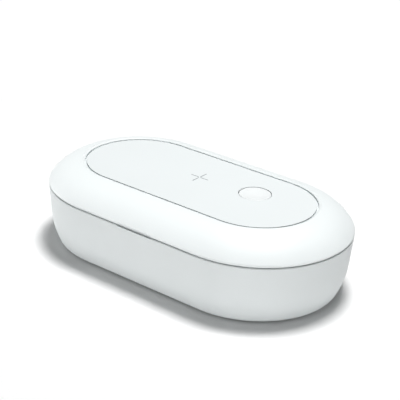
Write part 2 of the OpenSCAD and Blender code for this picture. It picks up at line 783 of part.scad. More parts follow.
module charge_mark() color(grey) mark(mark_depth);

module lid_liner() color(white) difference() {
    union() {
        plate(lid_liner_r, lid_liner_z, liner_wall);
        posts([for (x = lamp_posts) [x, 0]], post_r, lid_liner_top, upper_board_z);
        posts(charger_screws, post_r, lid_liner_top, charger_z);
        posts(button_screws, post_r, lid_liner_top, button_board_z);
    }
    for (p = concat(charger_screws, button_screws, [for (x = lamp_posts) [x, 0]]))
        translate([p.x, p.y, lid_liner_top - liner_wall / 2]) cylinder(r = tiny_r, h = charger_z);
    for (p = lid_screws_at) translate([p.x, p.y, lid_liner_z - cut]) {
        cylinder(r = screw_head_r + fit, h = screw_head_h + cut);
        cylinder(r = screw_r + fit, h = liner_wall + 2 * cut);
    }
    lamp_row(lid_liner_z - cut) cylinder(r = lamp_hole_r, h = liner_wall + 2 * cut);
    lamp_row(lid_liner_z - cut) cylinder(r = window_hole_r, h = window_t + cut);
    rod(lid_bend, lid_port, cable_hole_r);
}

module upper_windows() color([0.75, 0.85, 0.95])
    lamp_row(lid_liner_z) cylinder(r = window_r, h = window_t);

module upper_lamp_board()
    board([0, 0], lamp_board_len, lamp_board_w, upper_board_z, [for (x = lamp_posts) [x, 0]]);

module upper_lamps() color([0.93, 0.9, 0.7])
    lamp_row(upper_board_z) mirror([0, 0, 1]) lamp_chip();

module charging_coil() color([0.72, 0.42, 0.2])
    translate([mark_x, mark_y, panel_z - coil_t]) difference() {
        cylinder(r = coil_r, h = coil_t);
        translate([0, 0, -cut]) cylinder(r = coil_bore_r, h = coil_t + 2 * cut);
    }

module ferrite_sheet() color(dark)
    translate([mark_x, mark_y, panel_z - coil_t - ferrite_t])
        cylinder(r = coil_r + ferrite_margin, h = ferrite_t);

module charger_board()
    board([charger_x, 0], charger_len, charger_w, charger_z, charger_screws);

// Driver chip, two resistors and the cable's plug on the charger board
module charger_parts() color(dark) translate([charger_x, 0, charger_z + board_t]) {
    translate(charger_chip_at) cube(chip);
    for (p = resistors_at) translate(p) cube(resistor);
    translate(charger_plug_at) cube(plug);
}

module button_board()
    board([button_x, 0], button_board_len, button_board_w, button_board_z, button_screws);

module switch_housing() color(dark) translate([button_x, button_y, switch_z]) difference() {
    translate([-switch_w / 2, -switch_w / 2, 0]) cube([switch_w, switch_w, switch_h]);
    translate([0, 0, switch_floor]) cylinder(r = plunger_r + plunger_run, h = switch_h);
}

module lid_magnets() color(steel) magnet_pair(lid_magnet_y, lid_liner_top);

module lid_cable() color(dark) cable(lid_route, cable_r);

module lid_screws() color(steel)
    for (p = lid_screws_at) translate([p.x, p.y, lid_liner_z])
        screw(screw_r, screw_head_r, screw_head_h, lid_screw_len);

module lid_board_screws() color(steel) {
    for (p = charger_screws) board_screw(p, charger_z + board_t, 0);
    for (p = button_screws) board_screw(p, button_board_z + board_t, 0);
    for (x = lamp_posts) board_screw([x, 0], upper_board_z + board_t, 0);
}

// ---- button ----

// Cap with a dished face, a collar that keeps it under the panel and a foot for the switch
module power_button() color(white) translate([button_x, button_y, 0]) rotate_extrude() {
    cap_z = collar_z + collar_t;
    difference() {
        translate([0, cap_z]) rounded_disc(button_r, panel_top_z - cap_z, button_round);
        translate([0, panel_top_z - button_dish + dish_ball]) circle(dish_ball, $fn = arc_fn);
    }
    translate([0, collar_z]) square([collar_r, collar_t]);
    translate([0, plunger_z]) square([button_foot_r, collar_z - plunger_z]);
}

module switch_plunger() color(grey)
    translate([button_x, button_y, switch_z + switch_h - plunger_grip])
        cylinder(r = plunger_r, h = plunger_rise + plunger_grip);

base_shell();
chamber_liner();
rim_seal();
phone_rails();
lower_windows();
lower_lamp_board();
lower_lamps();
main_board();
main_board_parts();
usb_c_socket();
usb_c_tongue();
lid_sensor();
base_magnets();
hinge_pins();
base_cable();
base_screws();
base_board_screws();
rubber_feet();
lid_shell();
top_panel();
charge_mark();
lid_liner();
upper_windows();
upper_lamp_board();
upper_lamps();
charging_coil();
ferrite_sheet();
charger_board();
charger_parts();
button_board();
switch_housing();
lid_magnets();
lid_cable();
lid_screws();
lid_board_screws();
power_button();
switch_plunger();
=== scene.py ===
"""Finishes, inner details and studio for the ultraviolet sanitizer box, laid out as an add-on."""

import math

import bmesh
import bpy
from bpy.props import FloatProperty, FloatVectorProperty, IntProperty, PointerProperty
from mathutils import Matrix, Vector


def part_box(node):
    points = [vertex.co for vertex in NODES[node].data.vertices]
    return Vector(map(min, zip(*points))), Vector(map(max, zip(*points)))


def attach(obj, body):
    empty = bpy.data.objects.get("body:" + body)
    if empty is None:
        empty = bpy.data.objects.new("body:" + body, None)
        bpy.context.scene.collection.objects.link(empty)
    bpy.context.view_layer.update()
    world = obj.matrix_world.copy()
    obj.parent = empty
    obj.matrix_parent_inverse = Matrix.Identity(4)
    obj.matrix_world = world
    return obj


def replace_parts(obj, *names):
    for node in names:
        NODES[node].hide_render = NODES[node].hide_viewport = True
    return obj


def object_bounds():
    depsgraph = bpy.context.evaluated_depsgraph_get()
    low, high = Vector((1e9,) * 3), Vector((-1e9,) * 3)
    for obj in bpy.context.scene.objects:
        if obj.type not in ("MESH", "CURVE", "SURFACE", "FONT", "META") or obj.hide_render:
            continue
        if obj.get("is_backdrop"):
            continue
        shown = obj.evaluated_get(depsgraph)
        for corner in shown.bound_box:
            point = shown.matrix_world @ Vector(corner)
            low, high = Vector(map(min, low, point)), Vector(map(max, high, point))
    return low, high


bl_info = {
    "name": "Sanitizer Box Finishes",
    "version": (1, 0, 0),
    "blender": (4, 5, 0),
    "location": "View3D > Sidebar > Sanitizer",
    "description": "Gives the sanitizer box its finishes, its inner details and a plain studio",
    "category": "Object",
}

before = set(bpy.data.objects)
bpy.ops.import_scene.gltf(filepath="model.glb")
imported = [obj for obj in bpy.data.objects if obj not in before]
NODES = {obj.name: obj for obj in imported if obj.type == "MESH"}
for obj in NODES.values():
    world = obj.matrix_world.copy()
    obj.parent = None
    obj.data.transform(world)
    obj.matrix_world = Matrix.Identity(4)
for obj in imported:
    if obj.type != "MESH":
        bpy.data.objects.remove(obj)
CAD_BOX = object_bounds()
TURN = 2 * math.pi
# Points of a CAD mesh this near to each other are one corner
WELD = 0.00001
# Edges that bend by more than this stay sharp
SHARP = math.radians(40)


# ---- sizes and colours that a user may change ----


def colour(name, description, default):
    return FloatVectorProperty(
        name=name, description=description, subtype="COLOR", size=3, min=0, max=1, default=default
    )


def length(name, description, default, top=0.05):
    return FloatProperty(
        name=name, description=description, default=default, min=0, max=top,
        subtype="DISTANCE", unit="LENGTH", precision=5,
    )


def share(name, description, default):
    return FloatProperty(
        name=name, description=description, default=default, min=0, max=1, subtype="FACTOR"
    )


def lamp_power(name, description, default):
    return FloatProperty(
        name=name, description=description, default=default, min=0, subtype="POWER", unit="POWER"
    )


class HousingLook(bpy.types.PropertyGroup):
    """Colours and grain of the moulded parts"""

    shell: colour("Shells", "Colour of the lid, and of the base a shade darker", (0.875, 0.918, 0.92))
    # The base is darker than the lid: partly its own greyer white, partly painted shade for its upright
    # sides
    base_shade: share("Base shade", "Lightness of the base against the lid", 0.94)
    panel: colour("Top panel", "Colour of the charging panel", (0.868, 0.912, 0.916))
    # Painted shade: grey for the panel's edge down in its gap, standing in for the gap's shadow
    core: colour("Panel core", "Grey that shows along the panel's cut edge", (0.42, 0.45, 0.46))
    button: colour("Button", "Colour of the push button", (0.92, 0.95, 0.952))
    mark: colour("Charging mark", "Colour of the inlaid strokes", (0.42, 0.45, 0.46))
    liner: colour("Liners", "Colour of the chamber and the lid's inner cover", (0.83, 0.86, 0.87))
    seal: colour("Seal", "Colour of the silicone seal", (0.5, 0.53, 0.54))
    grain: length("Grain", "Width of one grain of the moulded surface", 0.00045, 0.01)
    grain_depth: length("Grain depth", "Height of that grain", 0.000004, 0.001)
    dullness: share("Roughness", "Roughness of the shells", 0.5)


class InsideLook(bpy.types.PropertyGroup):
    """Colours and sizes of what the housing holds"""

    mask: colour("Solder mask", "Colour of the circuit boards", (0.02, 0.12, 0.055))
    gold: colour("Gilding", "Colour of the gilt contacts", (0.85, 0.6, 0.25))
    copper: colour("Winding", "Colour of the coil's wire", (0.72, 0.3, 0.14))
    rubber: colour("Rubber", "Colour of the feet and the cables", (0.035, 0.036, 0.038))
    resin: colour("Resin", "Colour of the chips and the black mouldings", (0.02, 0.02, 0.022))
    steel: colour("Steel", "Colour of pins, screws and the charging socket", (0.62, 0.62, 0.64))
    clear: colour("Clear parts", "Tint of the windows and the rails", (0.93, 0.97, 1.0))
    wire: length("Wire", "Thickness of the coil's wire", 0.0008, 0.002)
    turns: IntProperty(
        name="Turns", description="Turns of wire in each layer of the coil", default=12, min=4, max=20
    )
    rib: length("Foot ribs", "Distance from one ring under a foot to the next", 0.0012, 0.01)
    strand: length("Strand", "Radius of one strand of the cables", 0.00029, 0.001)
    lay: length("Lay", "Length of one twist of the cables' strands", 0.006)


class StudioLook(bpy.types.PropertyGroup):
    """Light and floor round the box"""

    floor: share("Floor", "Lightness of the floor as the box sees it", 0.64)
    dome: FloatProperty(
        name="Dome", description="Strength of the even light from all round", default=0.064, min=0, max=3
    )
    key: lamp_power("Key lamp", "Power of the main lamp, high above and a little behind", 17.2)
    left: lamp_power("Left lamp", "Power of the lamp on the left", 5.3)
    near_left: lamp_power("Near left lamp", "Power of the low lamp in front, on the left", 4.0)
    near_right: lamp_power("Near right lamp", "Power of the low lamp in front, on the right", 3.7)
    right: lamp_power("Right lamp", "Power of the low lamp on the right", 4.7)
    lens: FloatProperty(
        name="Lens", description="Focal length on a 36 mm wide sensor", default=108.0, min=20, max=300,
        subtype="DISTANCE_CAMERA",
    )


# ---- shader maths ----


class Wire:
    """One value inside a finish; sums and products of such values become Math nodes."""

    def __init__(self, finish, socket):
        self.finish = finish
        self.socket = socket

    def math(self, operation, *values):
        return self.finish.node("ShaderNodeMath", {"operation": operation}, dict(enumerate(values)))

    def __add__(self, other):
        return self.math("ADD", self, other)

    def __sub__(self, other):
        return self.math("SUBTRACT", self, other)

    def __rsub__(self, other):
        return self.math("SUBTRACT", other, self)

    def __mul__(self, other):
        return self.math("MULTIPLY", self, other)

    def __mod__(self, other):
        return self.math("FLOORED_MODULO", self, other)

    def __rmod__(self, other):
        return self.math("FLOORED_MODULO", other, self)

    def __pow__(self, other):
        return self.math("POWER", self, other)

    def __rpow__(self, other):
        return self.math("POWER", other, self)

    def __lt__(self, other):
        return self.math("LESS_THAN", self, other)

    def __gt__(self, other):
        return self.math("GREATER_THAN", self, other)

    def __abs__(self):
        return self.math("ABSOLUTE", self)

    __radd__ = __add__
    __rmul__ = __mul__


class Finish:
    """A procedural material in the making, laid out in the object's own coordinates in metres."""

    def __init__(self, name):
        self.material = bpy.data.materials.new(name)
        self.material.use_nodes = True
        self.tree = self.material.node_tree
        self.tree.nodes.clear()
        self.place = self.node("ShaderNodeTexCoord", output="Object")

    def node(self, kind, settings=(), values=(), output=0):
        """Adds any node: its settings come first, then the values or links of its sockets."""
        made = self.tree.nodes.new(kind)
        for key, value in dict(settings).items():
            setattr(made, key, value)
        for key, value in dict(values).items():
            if isinstance(value, Wire):
                self.tree.links.new(value.socket, made.inputs[key])
            else:
                made.inputs[key].default_value = value
        return Wire(self, made.outputs[output])

    def axis(self, index):
        return self.node("ShaderNodeSeparateXYZ", {}, {"Vector": self.place}, index)

    def away(self):
        """Distance from the upright axis."""
        return (self.axis(0) ** 2.0 + self.axis(1) ** 2.0) ** 0.5

    def noise(self, width, detail=2.0, vector=None):
        return self.node(
            "ShaderNodeTexNoise", {},
            {"Vector": vector or self.place, "Scale": 1 / width, "Detail": detail, "Roughness": 0.55},
        )

    def stretched(self, pull):
        """The place, drawn out along each axis whose share is below 1."""
        return self.node("ShaderNodeVectorMath", {"operation": "MULTIPLY"}, {0: self.place, 1: pull})

    def blend(self, factor, a, b):
        """Colour b over colour a, by the factor."""
        # The Mix node has a set of sockets for each data type; these are the ones for colours
        first, second, result = 6, 7, 2
        return self.node(
            "ShaderNodeMix", {"data_type": "RGBA"},
            {0: factor, first: self.full(a), second: self.full(b)}, result,
        )

    @staticmethod
    def full(shade):
        return shade if isinstance(shade, Wire) else (*shade, 1.0)

    def bump(self, height, depth, under=None):
        """Relief of the given depth in metres, on top of another relief if there is one."""
        values = {"Height": height, "Distance": depth, "Strength": 1.0}
        if under:
            values["Normal"] = under
        return self.node("ShaderNodeBump", {}, values)

    def surface(self, **values):
        """Closes the material with its main shader; a name's underlines stand for spaces."""
        self.close(self.node(
            "ShaderNodeBsdfPrincipled", {},
            {key.replace("_", " "): value for key, value in values.items()},
        ))
        return self.material

    def close(self, shader):
        output = self.tree.nodes.new("ShaderNodeOutputMaterial")
        self.tree.links.new(shader.socket, output.inputs["Surface"])


def tinted(shade, factor):
    """A colour made darker or lighter, in plain numbers."""
    return tuple(min(1.0, c * factor) for c in shade)


# ---- finishes ----


def moulded(name, shade, dullness, look, coat=0.0, core=None):
    """Injection-moulded plastic: fine grain, long soft waves, and faint flow marks in the colour.

    A painted gap shade is a colour with the two heights between which it shows: painted shade on a plate's
    edge, down in the gap round the plate.
    """
    flow_width, wave_width, wave_depth = 0.05, 0.03, 0.00002
    f = Finish(name)
    grain = f.noise(look.grain, 3.0)
    waves = f.noise(wave_width, 1.0)
    flow = f.noise(flow_width, 3.0)
    skin = f.blend(flow, tinted(shade, 0.975), shade)
    # Painted shade: the plate's edge turns grey between the two heights, as shadow in the gap round it
    if core:
        painted_shade_colour, low, high = core
        height = f.axis(2)
        skin = f.blend((height > low) * (height < high), skin, painted_shade_colour)
    return f.surface(
        Base_Color=skin,
        Roughness=dullness - 0.05 + 0.06 * grain + 0.05 * flow,
        IOR=1.5,
        Coat_Weight=coat,
        Coat_Roughness=0.12,
        Normal=f.bump(waves, wave_depth, f.bump(grain, look.grain_depth)),
    )


def rubbery(name, shade, dullness):
    """Soft rubber, resin or silicone: a dusty, slightly uneven skin."""
    dust_width, pore_width, pore_depth = 0.0011, 0.00025, 0.000015
    f = Finish(name)
    dust = f.noise(dust_width, 4.0)
    pores = f.noise(pore_width, 2.0)
    return f.surface(
        Base_Color=f.blend(dust, tinted(shade, 0.86), tinted(shade, 1.12)),
        Roughness=dullness + 0.14 * dust,
        IOR=1.42,
        Sheen_Weight=0.15,
        Normal=f.bump(pores, pore_depth),
    )


def ribbed(name, shade, centre, pitch):
    """Rubber with fine rings moulded about the middle of each foot."""
    dust_width, dust_depth = 0.0011, 0.00001
    f = Finish(name)
    across = abs(f.axis(0)) - centre.x
    along = abs(f.axis(1)) - centre.y
    radius = (across**2.0 + along**2.0) ** 0.5
    rib = abs(radius % pitch - pitch / 2) * (1 / pitch)
    dust = f.noise(dust_width, 4.0)
    return f.surface(
        Base_Color=f.blend(dust, tinted(shade, 0.86), tinted(shade, 1.25)),
        Roughness=0.5 + 0.2 * dust + 0.1 * rib,
        IOR=1.42,
        Normal=f.bump(dust, dust_depth, f.bump(rib, pitch * 0.6)),
    )


def metal(name, shade, dullness, pull=(1.0, 1.0, 1.0), mark_width=0.0006):
    """Metal with tumbled marks, or with marks drawn out along an axis."""
    mark_depth, stain_width = 0.000006, 0.006
    f = Finish(name)
    marks = f.noise(mark_width, 4.0, f.stretched(pull))
    stain = f.noise(stain_width, 3.0)
    return f.surface(
        Base_Color=f.blend(stain, tinted(shade, 0.86), tinted(shade, 1.06)),
        Metallic=1.0,
        Roughness=dullness - 0.06 + 0.16 * marks,
        Normal=f.bump(marks, mark_depth),
    )


def clear_piece(name, shade, dullness, bending, clearness=0.9):
    """Clear plastic or glass with faint polishing marks; a low clearness is frosted."""
    mark_width, mark_depth = 0.0012, 0.000004
    f = Finish(name)
    marks = f.noise(mark_width, 3.0)
    return f.surface(
        Base_Color=f.blend(marks, tinted(shade, 0.97), shade),
        Roughness=dullness + 0.03 * marks,
        IOR=bending,
        Transmission_Weight=clearness,
        Normal=f.bump(marks, mark_depth),
    )


def circuit_board(name, look):
    """Solder mask over patches of straight traces and bare fill, with the glass weave under it."""
    pitch, patch, weave_width, relief = 0.0011, 0.0066, 0.0004, 0.00003
    crosswise_part, chance_step, bare_part, half_trace = 0.55, 0.3, 0.06, pitch * 0.24
    f = Finish(name)
    x, y = f.axis(0), f.axis(1)
    corner = f.node(
        "ShaderNodeCombineXYZ", {}, {"X": x.math("SNAP", x, patch), "Y": y.math("SNAP", y, patch)}
    )
    chance = f.node("ShaderNodeTexWhiteNoise", {"noise_dimensions": "3D"}, {"Vector": corner})
    lengthwise = chance > crosswise_part
    line = lengthwise * x + (1 - lengthwise) * y
    trace = abs(line % pitch - pitch / 2) < half_trace
    covered = trace * (chance % chance_step > bare_part)
    weave = f.noise(weave_width, 2.0)
    copper_under = f.blend(weave, tinted(look.mask, 1.9), tinted(look.mask, 2.3))
    return f.surface(
        Base_Color=f.blend(covered, tinted(look.mask, 0.85), copper_under),
        Roughness=0.34 + 0.1 * weave - 0.06 * covered,
        IOR=1.52,
        Normal=f.bump(covered + 0.15 * weave, relief),
    )


# ---- mesh building; a shape is a list of vertices and a list of faces ----


def piece(name, shape, body, slot, material):
    """Makes a mesh piece from a shape; it rides a body and takes the given material as its finish. The slot
    is not used.
    """
    verts, faces = shape
    mesh = bpy.data.meshes.new(name)
    mesh.from_pydata([tuple(v) for v in verts], [], faces)
    mesh.validate()
    made = bpy.data.objects.new(name, mesh)
    bpy.context.scene.collection.objects.link(made)
    mesh.materials.append(material)
    mesh.shade_smooth()
    mesh.set_sharp_from_angle(angle=SHARP)
    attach(made, body)
    return made


def tube(rings, sides):
    """Faces between rings of vertices that follow each other, and a cap at each end."""
    faces = []
    for i in range(rings - 1):
        for k in range(sides):
            a, b = i * sides + k, i * sides + (k + 1) % sides
            faces.append((a, b, b + sides, a + sides))
    last = (rings - 1) * sides
    return faces + [tuple(reversed(range(sides))), tuple(range(last, last + sides))]


def framed(route):
    """Each point of a route, with two directions square to it that don't twist along it."""
    side = None
    for i, p in enumerate(route):
        ahead = (route[min(i + 1, len(route) - 1)] - route[max(i - 1, 0)]).normalized()
        if side is None:
            side = ahead.cross(Vector((0.1, 0.2, 1.0))).normalized()
        side = (side - ahead * side.dot(ahead)).normalized()
        yield p, side, ahead.cross(side)


def swept(route, radius, sides):
    """A tube along a route."""
    verts = []
    for p, side, up in framed(route):
        for k in range(sides):
            a = TURN * k / sides
            verts.append(p + radius * (math.cos(a) * side + math.sin(a) * up))
    return verts, tube(len(route), sides)


def turned(profile, centre, sides=48):
    """A profile of (radius, height) turned about the upright line through a centre."""
    verts = []
    for r, z in profile:
        for k in range(sides):
            a = TURN * k / sides
            verts.append(Vector((centre.x + r * math.cos(a), centre.y + r * math.sin(a), centre.z + z)))
    return verts, tube(len(profile), sides)


def block(low, high, bevel):
    """A box with bevelled edges."""
    bm = bmesh.new()
    bmesh.ops.create_cube(bm, size=1.0)
    size, middle = high - low, (high + low) / 2
    for v in bm.verts:
        v.co = middle + Vector(c * s for c, s in zip(v.co, size))
    bmesh.ops.bevel(bm, geom=bm.edges[:], offset=bevel, segments=2, affect="EDGES")
    verts = [v.co.copy() for v in bm.verts]
    faces = [tuple(v.index for v in face.verts) for face in bm.faces]
    bm.free()
    return verts, faces


def joined(*shapes):
    """One shape from several."""
    verts, faces = [], []
    for more_verts, more_faces in shapes:
        first = len(verts)
        verts += more_verts
        faces += [tuple(i + first for i in face) for face in more_faces]
    return verts, faces


def banked(profile, straight, steps=48):
    """A closed profile of (radius, height) carried round a track with round ends."""
    track = []
    for end in (1, -1):
        for k in range(steps + 1):
            a = math.pi * (k / steps - 0.5)
            track.append((end * straight, end * math.cos(a), end * math.sin(a)))
    verts = [Vector((x + r * across, r * along, z)) for x, across, along in track for r, z in profile]
    faces, n = [], len(profile)
    for i in range(len(track)):
        j = (i + 1) % len(track)
        for k in range(n):
            m = (k + 1) % n
            faces.append((i * n + k, j * n + k, j * n + m, i * n + m))
    return verts, faces


def smoothed(points, steps=6):
    """A soft route through the given points: a Catmull-Rom curve."""
    route = []
    for i in range(len(points) - 1):
        a, b, c, d = (points[max(0, min(len(points) - 1, i + k))] for k in (-1, 0, 1, 2))
        for step in range(steps):
            t = step / steps
            route.append(0.5 * (
                2 * b + (c - a) * t + (2 * a - 5 * b + 4 * c - d) * t**2 + (3 * b - a - 3 * c + d) * t**3
            ))
    return route + [points[-1]]


def welded(name):
    """A working copy of a CAD node's mesh, in which points at one place are one."""
    bm = bmesh.new()
    bm.from_mesh(NODES[name].data)
    bmesh.ops.remove_doubles(bm, verts=bm.verts[:], dist=WELD)
    return bm


def spine(name):
    """The middle of each ring of a CAD cable, from one end to the other."""
    bm = welded(name)
    bmesh.ops.dissolve_limit(bm, angle_limit=0.01, verts=bm.verts[:], edges=bm.edges[:])
    caps = (face for face in bm.faces if len(face.verts) > 6)
    ring = set(max(caps, key=lambda face: face.calc_center_median().y).verts)
    walked, route = set(), []
    while ring:
        route.append(sum((v.co for v in ring), Vector()) / len(ring))
        walked |= ring
        ring = {edge.other_vert(v) for v in ring for edge in v.link_edges} - walked
    bm.free()
    return route


def strands(route, radius, lay):
    """Two strands twisted about a route, one turn to each lay."""
    shapes = []
    for phase in (0.0, math.pi):
        points, gone = [], 0.0
        for i, (p, side, up) in enumerate(framed(route)):
            gone += (p - route[i - 1]).length if i else 0.0
            a = phase + TURN * gone / lay
            points.append(p + radius * (math.cos(a) * side + math.sin(a) * up))
        shapes.append(swept(points, radius, 10))
    return joined(*shapes)


def lumps(name):
    """The lowest corner, the highest corner and the points of each separate solid of a CAD node."""
    bm = welded(name)
    seen, found = set(), []
    for start in bm.verts:
        if start in seen:
            continue
        seen.add(start)
        todo, points = [start], []
        while todo:
            v = todo.pop()
            points.append(v.co.copy())
            for edge in v.link_edges:
                other = edge.other_vert(v)
                if other not in seen:
                    seen.add(other)
                    todo.append(other)
        found.append((
            Vector(min(q[k] for q in points) for k in range(3)),
            Vector(max(q[k] for q in points) for k in range(3)),
            points,
        ))
    bm.free()
    return found


def screw(low, high, points):
    """A screw in the place of a CAD lump: domed head with a cross recess, and a threaded shank."""
    sides, rings_a_turn, thinnest_head = 36, 5, 0.0006
    dome_drop, wall_end, seat_inset, root, point = 0.42, 0.8, 0.95, 0.8, 0.3
    middle = (low + high) / 2
    reaches = [((q.xy - middle.xy).length, q.z) for q in points]

    def reach(z):
        return max(r for r, at in reaches if abs(at - z) < WELD)

    up = reach(low.z) > reach(high.z)
    face, tip = (low.z, high.z) if up else (high.z, low.z)
    head_r, shank_r = reach(face), reach(tip)
    tall = high.z - low.z
    head_h = min(
        abs(at - face) for r, at in reaches
        if r < shank_r * 1.02 and abs(at - face) > thinnest_head
    )
    verts = []

    def ring(r, z, sink=lambda x, y: 0.0):
        for k in range(sides):
            a = TURN * k / sides
            x, y = r * math.cos(a), r * math.sin(a)
            verts.append((x, y, z + sink(x, y)))

    def recess(x, y):
        arm, half, slope, depth = head_r * 0.55, head_r * 0.13, head_r * 0.1, head_h * 0.6
        near, far = min(abs(x), abs(y)), max(abs(x), abs(y))
        in_width = min(1.0, max(0.0, (half + slope - near) / slope))
        in_length = min(1.0, max(0.0, (arm - far) / slope))
        return in_width * in_length * depth

    # The domed face with its recess, then the head's wall and its seat
    for part in (0.04, 0.12, 0.2, 0.3, 0.4, 0.5, 0.6, 0.72, 0.84, 0.93, 0.98, 1.0):
        ring(head_r * part, head_h * dome_drop * part**4, recess)
    ring(head_r, head_h * wall_end)
    ring(head_r * seat_inset, head_h)
    ring(shank_r, head_h)
    # The shank, whose rings bulge in turn as the thread goes round and fade out at the tip
    pitch = shank_r * 0.75
    for i in range(int((tall - head_h) / pitch * rings_a_turn) + 1):
        z = head_h + pitch * i / rings_a_turn
        fade = min(1.0, (tall - z) / (2 * pitch))
        for k in range(sides):
            a = TURN * k / sides
            crest = abs(2 * ((z / pitch - k / sides) % 1.0) - 1)
            r = shank_r * (root + (1 - root) * fade * crest)
            verts.append((r * math.cos(a), r * math.sin(a), z))
    ring(shank_r * point, tall)
    faces = [(f[0], *reversed(f[1:])) for f in tube(len(verts) // sides, sides)]
    way = 1 if up else -1
    placed = [Vector((middle.x + x, middle.y + y * way, face + way * z)) for x, y, z in verts]
    return placed, faces


def legs(low, high, count):
    """Bent legs along the four sides of a chip, from its body down to the board."""
    leg_radius, body_inset, knee_up, spread = 0.00011, 0.0009, 0.00045, 0.86
    middle, half = (low + high) / 2, (high - low) / 2
    body = half.x - body_inset
    route = (
        (body - 0.0002, low.z + knee_up), (body + 0.0002, low.z + knee_up),
        (body + 0.0004, low.z + 0.00012), (half.x, low.z + 0.00008),
    )
    shapes = []
    for side in range(4):
        turn = Matrix.Rotation(side * math.pi / 2, 3, "Z")
        for i in range(count):
            y = (i - (count - 1) / 2) * 2 * body * spread / (count - 1)
            points = [turn @ Vector((x, y, 0)) + Vector((middle.x, middle.y, z)) for x, z in route]
            shapes.append(swept(points, leg_radius, 4))
    return joined(*shapes)


def paint(material, *names):
    """Gives CAD nodes a finish."""
    for name in names:
        for holder in NODES[name].material_slots:
            holder.material = material


# ---- operators, one for each piece or group ----


class SANITIZER_OT_housing(bpy.types.Operator):
    """Finish the base shell and the lid shell"""

    bl_idname = "sanitizer.housing"
    bl_label = "Housing"

    def execute(self, context):
        look = context.scene.sanitizer_housing
        # Partly painted shade: the base's upright sides get part of their darker look from this colour, not
        # only from the lamps
        base = tinted(look.shell, look.base_shade)
        paint(moulded("Lid plastic", look.shell, look.dullness, look), "lid_shell")
        paint(moulded("Base plastic", base, look.dullness, look), "base_shell")
        return {"FINISHED"}


class SANITIZER_OT_panel(bpy.types.Operator):
    """Finish the top panel, its charging mark and the button"""

    bl_idname = "sanitizer.panel"
    bl_label = "Panel and button"

    def execute(self, context):
        look = context.scene.sanitizer_housing
        gap_depth, margin = 0.0012, 0.0001
        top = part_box("top_panel")[1].z
        # Painted shade on the panel's edge, from the gap's floor to just under the panel's top
        core = (look.core, top - gap_depth + margin, top - margin)
        paint(moulded("Panel plastic", look.panel, 0.42, look, core=core), "top_panel")
        paint(moulded("Mark inlay", look.mark, 0.5, look), "charge_mark")
        paint(moulded("Button plastic", look.button, 0.36, look), "power_button")
        paint(moulded("Plunger plastic", look.mark, 0.45, look), "switch_plunger")
        return {"FINISHED"}


class SANITIZER_OT_chamber(bpy.types.Operator):
    """Finish the chamber liner, the lid liner, the seal and the phone rails"""

    bl_idname = "sanitizer.chamber"
    bl_label = "Chamber"

    def execute(self, context):
        look = context.scene.sanitizer_housing
        clear = context.scene.sanitizer_inside.clear
        paint(moulded("Liner plastic", look.liner, 0.2, look, coat=0.3), "chamber_liner", "lid_liner")
        self.seal(look.seal)
        paint(clear_piece("Rail plastic", clear, 0.3, 1.49, 0.35), "phone_rails")
        return {"FINISHED"}

    def seal(self, shade):
        """A soft bulb on a narrow waist and a flat foot in its groove, in place of the plain strip."""
        foot_h, waist_h, bend = 0.0003, 0.0005, 0.0003
        low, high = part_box("rim_seal")
        straight = (high.x - low.x - (high.y - low.y)) / 2
        outer = high.y
        strip = NODES["rim_seal"].data.vertices
        inner = min(abs(v.co.y) for v in strip if abs(v.co.x) < straight + bend)
        middle, half = (outer + inner) / 2, (outer - inner) / 2
        groove = low.z + (high.z - low.z) * 0.5
        waist, bulb = half * 0.75, half * 0.9
        centre = high.z - bulb
        right = [(half, low.z), (half, low.z + foot_h), (waist, low.z + waist_h), (waist, groove)]
        arc = [math.pi * (k / 12 * 1.3 - 0.15) for k in range(13)]
        profile = [(middle - half, low.z)]
        profile += [(middle + r, z) for r, z in right]
        profile += [(middle + bulb * math.cos(a), centre + bulb * math.sin(a)) for a in arc]
        profile += [(middle - r, z) for r, z in reversed(right[1:])]
        made = piece(
            "seal_bulb", banked(profile, straight), "base", "seal_grey",
            rubbery("Seal silicone", shade, 0.5),
        )
        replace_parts(made, "rim_seal")


class SANITIZER_OT_lamps(bpy.types.Operator):
    """Finish the windows and the ultraviolet lamps"""

    bl_idname = "sanitizer.lamps"
    bl_label = "Lamps"

    def execute(self, context):
        look = context.scene.sanitizer_inside
        paint(clear_piece("Window glass", look.clear, 0.04, 1.46), "lower_windows", "upper_windows")
        ceramic = moulded("Lamp ceramic", (0.82, 0.8, 0.74), 0.45, context.scene.sanitizer_housing)
        gilt = metal("Lamp gilding", look.gold, 0.25)
        quartz = clear_piece("Lamp quartz", (0.8, 0.75, 1.0), 0.05, 1.5)
        for node, body in (("lower_lamps", "base"), ("upper_lamps", "lid")):
            self.lamp_set(node, body, ceramic, gilt, quartz)
        return {"FINISHED"}

    def lamp_set(self, node, body, ceramic, gilt, quartz):
        """Ceramic carriers with a gilt ring and a quartz dome over the emitter."""
        carrier_bevel, dome_radius, dome_rings = 0.00015, 0.00112, 8
        carriers, rings, domes = [], [], []
        way = 1 if body == "base" else -1
        for low, high, _ in lumps(node):
            foot = low.z if body == "base" else high.z
            tall = high.z - low.z
            shoulder = foot + way * tall * 0.62
            carriers.append(block(
                Vector((low.x, low.y, min(foot, shoulder))),
                Vector((high.x, high.y, max(foot, shoulder))), carrier_bevel,
            ))
            middle = (low + high) / 2
            centre = Vector((middle.x, middle.y, foot))
            rings.append(turned([
                (0.0013, way * tall * 0.6), (0.0014, way * tall * 0.72),
                (0.00125, way * tall * 0.75), (0.0011, way * tall * 0.72),
            ], centre))
            domes.append(turned([
                (dome_radius * math.cos(a), way * tall * (0.64 + 0.36 * math.sin(a)))
                for a in (math.pi / 2 * k / dome_rings for k in range(dome_rings))
            ], centre))
        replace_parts(piece(node + "_carriers", joined(*carriers), body, "lamp_chip", ceramic), node)
        piece(node + "_rings", joined(*rings), body, "lamp_chip", gilt)
        piece(node + "_domes", joined(*domes), body, "lamp_glass", quartz)


